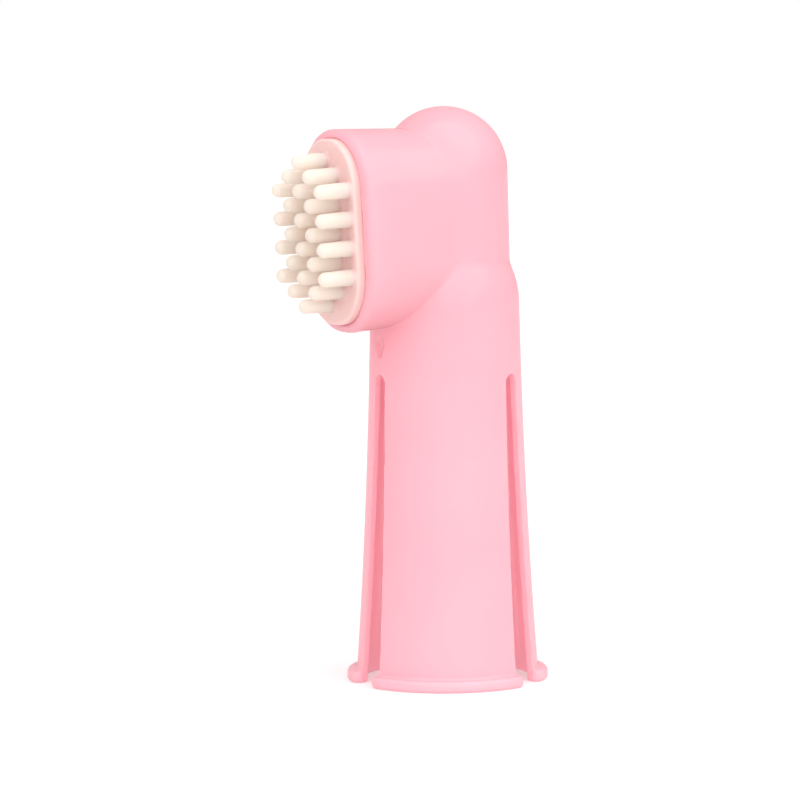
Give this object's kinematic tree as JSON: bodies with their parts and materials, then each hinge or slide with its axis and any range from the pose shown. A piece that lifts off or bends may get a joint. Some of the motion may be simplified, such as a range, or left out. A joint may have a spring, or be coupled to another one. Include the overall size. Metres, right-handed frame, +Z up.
{
  "type": "pet toothbrush",
  "caption": "Finger toothbrush for pets: a slotted moulded finger sleeve with a closed tip, and an oval side head that carries a rubber pad of tapered nubs.",
  "frame": {"origin": "centre of the finger opening, in the plane of the petals' lips", "axes": "+Z up the finger sleeve towards its closed tip; the head and its nubs face -Y; the brush is symmetric about X = 0"},
  "size_m": [0.021, 0.0283, 0.06],
  "materials": {
    "sleeve_plastic": "semi-gloss pink moulded polypropylene, slightly translucent",
    "pad_rubber": "satin milky white thermoplastic rubber"
  },
  "bodies": {
    "sleeve": {"finger_sleeve": "sleeve_plastic", "bristle_pad": "pad_rubber"},
    "petal_right": {"petal_right": "sleeve_plastic"},
    "petal_back": {"petal_back": "sleeve_plastic"},
    "petal_left": {"petal_left": "sleeve_plastic"},
    "nub_a1": {"nub_a1": "pad_rubber"},
    "nub_a2": {"nub_a2": "pad_rubber"},
    "nub_a3": {"nub_a3": "pad_rubber"},
    "nub_a4": {"nub_a4": "pad_rubber"},
    "nub_b1": {"nub_b1": "pad_rubber"},
    "nub_b2": {"nub_b2": "pad_rubber"},
    "nub_b3": {"nub_b3": "pad_rubber"},
    "nub_b4": {"nub_b4": "pad_rubber"},
    "nub_b5": {"nub_b5": "pad_rubber"},
    "nub_c1": {"nub_c1": "pad_rubber"},
    "nub_c2": {"nub_c2": "pad_rubber"},
    "nub_c3": {"nub_c3": "pad_rubber"},
    "nub_c4": {"nub_c4": "pad_rubber"},
    "nub_c5": {"nub_c5": "pad_rubber"},
    "nub_c6": {"nub_c6": "pad_rubber"},
    "nub_d1": {"nub_d1": "pad_rubber"},
    "nub_d2": {"nub_d2": "pad_rubber"},
    "nub_d3": {"nub_d3": "pad_rubber"},
    "nub_d4": {"nub_d4": "pad_rubber"},
    "nub_d5": {"nub_d5": "pad_rubber"},
    "nub_e1": {"nub_e1": "pad_rubber"},
    "nub_e2": {"nub_e2": "pad_rubber"},
    "nub_e3": {"nub_e3": "pad_rubber"},
    "nub_e4": {"nub_e4": "pad_rubber"}
  },
  "joints": [
    {"name": "petal_right_flex", "type": "hinge", "parent": "sleeve", "child": "petal_right", "pos_m": [0.00692, -0.004, 0.03127], "axis": [-0.5, -0.866, 0], "range_deg": [-2, 6], "stiffness_Nm_per_rad": 1},
    {"name": "petal_back_flex", "type": "hinge", "parent": "sleeve", "child": "petal_back", "pos_m": [0, 0.00799, 0.03127], "axis": [1, 0, 0], "range_deg": [-2, 6], "stiffness_Nm_per_rad": 1},
    {"name": "petal_left_flex", "type": "hinge", "parent": "sleeve", "child": "petal_left", "pos_m": [-0.00692, -0.004, 0.03127], "axis": [-0.5, 0.866, 0], "range_deg": [-2, 6], "stiffness_Nm_per_rad": 1},
    {"name": "nub_a1_flex", "type": "hinge", "parent": "sleeve", "child": "nub_a1", "pos_m": [-0.0046, -0.01381, 0.05168], "axis": [1, 0, 0], "range_deg": [-20, 20], "stiffness_Nm_per_rad": 0.0002},
    {"name": "nub_a2_flex", "type": "hinge", "parent": "sleeve", "child": "nub_a2", "pos_m": [-0.0046, -0.01367, 0.04874], "axis": [1, 0, 0], "range_deg": [-20, 20], "stiffness_Nm_per_rad": 0.0002},
    {"name": "nub_a3_flex", "type": "hinge", "parent": "sleeve", "child": "nub_a3", "pos_m": [-0.0046, -0.01353, 0.04579], "axis": [1, 0, 0], "range_deg": [-20, 20], "stiffness_Nm_per_rad": 0.0002},
    {"name": "nub_a4_flex", "type": "hinge", "parent": "sleeve", "child": "nub_a4", "pos_m": [-0.0046, -0.01339, 0.04284], "axis": [1, 0, 0], "range_deg": [-20, 20], "stiffness_Nm_per_rad": 0.0002},
    {"name": "nub_b1_flex", "type": "hinge", "parent": "sleeve", "child": "nub_b1", "pos_m": [-0.0023, -0.01388, 0.05316], "axis": [1, 0, 0], "range_deg": [-20, 20], "stiffness_Nm_per_rad": 0.0002},
    {"name": "nub_b2_flex", "type": "hinge", "parent": "sleeve", "child": "nub_b2", "pos_m": [-0.0023, -0.01374, 0.05021], "axis": [1, 0, 0], "range_deg": [-20, 20], "stiffness_Nm_per_rad": 0.0002},
    {"name": "nub_b3_flex", "type": "hinge", "parent": "sleeve", "child": "nub_b3", "pos_m": [-0.0023, -0.0136, 0.04726], "axis": [1, 0, 0], "range_deg": [-20, 20], "stiffness_Nm_per_rad": 0.0002},
    {"name": "nub_b4_flex", "type": "hinge", "parent": "sleeve", "child": "nub_b4", "pos_m": [-0.0023, -0.01346, 0.04432], "axis": [1, 0, 0], "range_deg": [-20, 20], "stiffness_Nm_per_rad": 0.0002},
    {"name": "nub_b5_flex", "type": "hinge", "parent": "sleeve", "child": "nub_b5", "pos_m": [-0.0023, -0.01332, 0.04137], "axis": [1, 0, 0], "range_deg": [-20, 20], "stiffness_Nm_per_rad": 0.0002},
    {"name": "nub_c1_flex", "type": "hinge", "parent": "sleeve", "child": "nub_c1", "pos_m": [0, -0.01395, 0.05463], "axis": [1, 0, 0], "range_deg": [-20, 20], "stiffness_Nm_per_rad": 0.0002},
    {"name": "nub_c2_flex", "type": "hinge", "parent": "sleeve", "child": "nub_c2", "pos_m": [0, -0.01381, 0.05168], "axis": [1, 0, 0], "range_deg": [-20, 20], "stiffness_Nm_per_rad": 0.0002},
    {"name": "nub_c3_flex", "type": "hinge", "parent": "sleeve", "child": "nub_c3", "pos_m": [0, -0.01367, 0.04874], "axis": [1, 0, 0], "range_deg": [-20, 20], "stiffness_Nm_per_rad": 0.0002},
    {"name": "nub_c4_flex", "type": "hinge", "parent": "sleeve", "child": "nub_c4", "pos_m": [0, -0.01353, 0.04579], "axis": [1, 0, 0], "range_deg": [-20, 20], "stiffness_Nm_per_rad": 0.0002},
    {"name": "nub_c5_flex", "type": "hinge", "parent": "sleeve", "child": "nub_c5", "pos_m": [0, -0.01339, 0.04284], "axis": [1, 0, 0], "range_deg": [-20, 20], "stiffness_Nm_per_rad": 0.0002},
    {"name": "nub_c6_flex", "type": "hinge", "parent": "sleeve", "child": "nub_c6", "pos_m": [0, -0.01325, 0.0399], "axis": [1, 0, 0], "range_deg": [-20, 20], "stiffness_Nm_per_rad": 0.0002},
    {"name": "nub_d1_flex", "type": "hinge", "parent": "sleeve", "child": "nub_d1", "pos_m": [0.0023, -0.01388, 0.05316], "axis": [1, 0, 0], "range_deg": [-20, 20], "stiffness_Nm_per_rad": 0.0002},
    {"name": "nub_d2_flex", "type": "hinge", "parent": "sleeve", "child": "nub_d2", "pos_m": [0.0023, -0.01374, 0.05021], "axis": [1, 0, 0], "range_deg": [-20, 20], "stiffness_Nm_per_rad": 0.0002},
    {"name": "nub_d3_flex", "type": "hinge", "parent": "sleeve", "child": "nub_d3", "pos_m": [0.0023, -0.0136, 0.04726], "axis": [1, 0, 0], "range_deg": [-20, 20], "stiffness_Nm_per_rad": 0.0002},
    {"name": "nub_d4_flex", "type": "hinge", "parent": "sleeve", "child": "nub_d4", "pos_m": [0.0023, -0.01346, 0.04432], "axis": [1, 0, 0], "range_deg": [-20, 20], "stiffness_Nm_per_rad": 0.0002},
    {"name": "nub_d5_flex", "type": "hinge", "parent": "sleeve", "child": "nub_d5", "pos_m": [0.0023, -0.01332, 0.04137], "axis": [1, 0, 0], "range_deg": [-20, 20], "stiffness_Nm_per_rad": 0.0002},
    {"name": "nub_e1_flex", "type": "hinge", "parent": "sleeve", "child": "nub_e1", "pos_m": [0.0046, -0.01381, 0.05168], "axis": [1, 0, 0], "range_deg": [-20, 20], "stiffness_Nm_per_rad": 0.0002},
    {"name": "nub_e2_flex", "type": "hinge", "parent": "sleeve", "child": "nub_e2", "pos_m": [0.0046, -0.01367, 0.04874], "axis": [1, 0, 0], "range_deg": [-20, 20], "stiffness_Nm_per_rad": 0.0002},
    {"name": "nub_e3_flex", "type": "hinge", "parent": "sleeve", "child": "nub_e3", "pos_m": [0.0046, -0.01353, 0.04579], "axis": [1, 0, 0], "range_deg": [-20, 20], "stiffness_Nm_per_rad": 0.0002},
    {"name": "nub_e4_flex", "type": "hinge", "parent": "sleeve", "child": "nub_e4", "pos_m": [0.0046, -0.01339, 0.04284], "axis": [1, 0, 0], "range_deg": [-20, 20], "stiffness_Nm_per_rad": 0.0002}
  ]
}
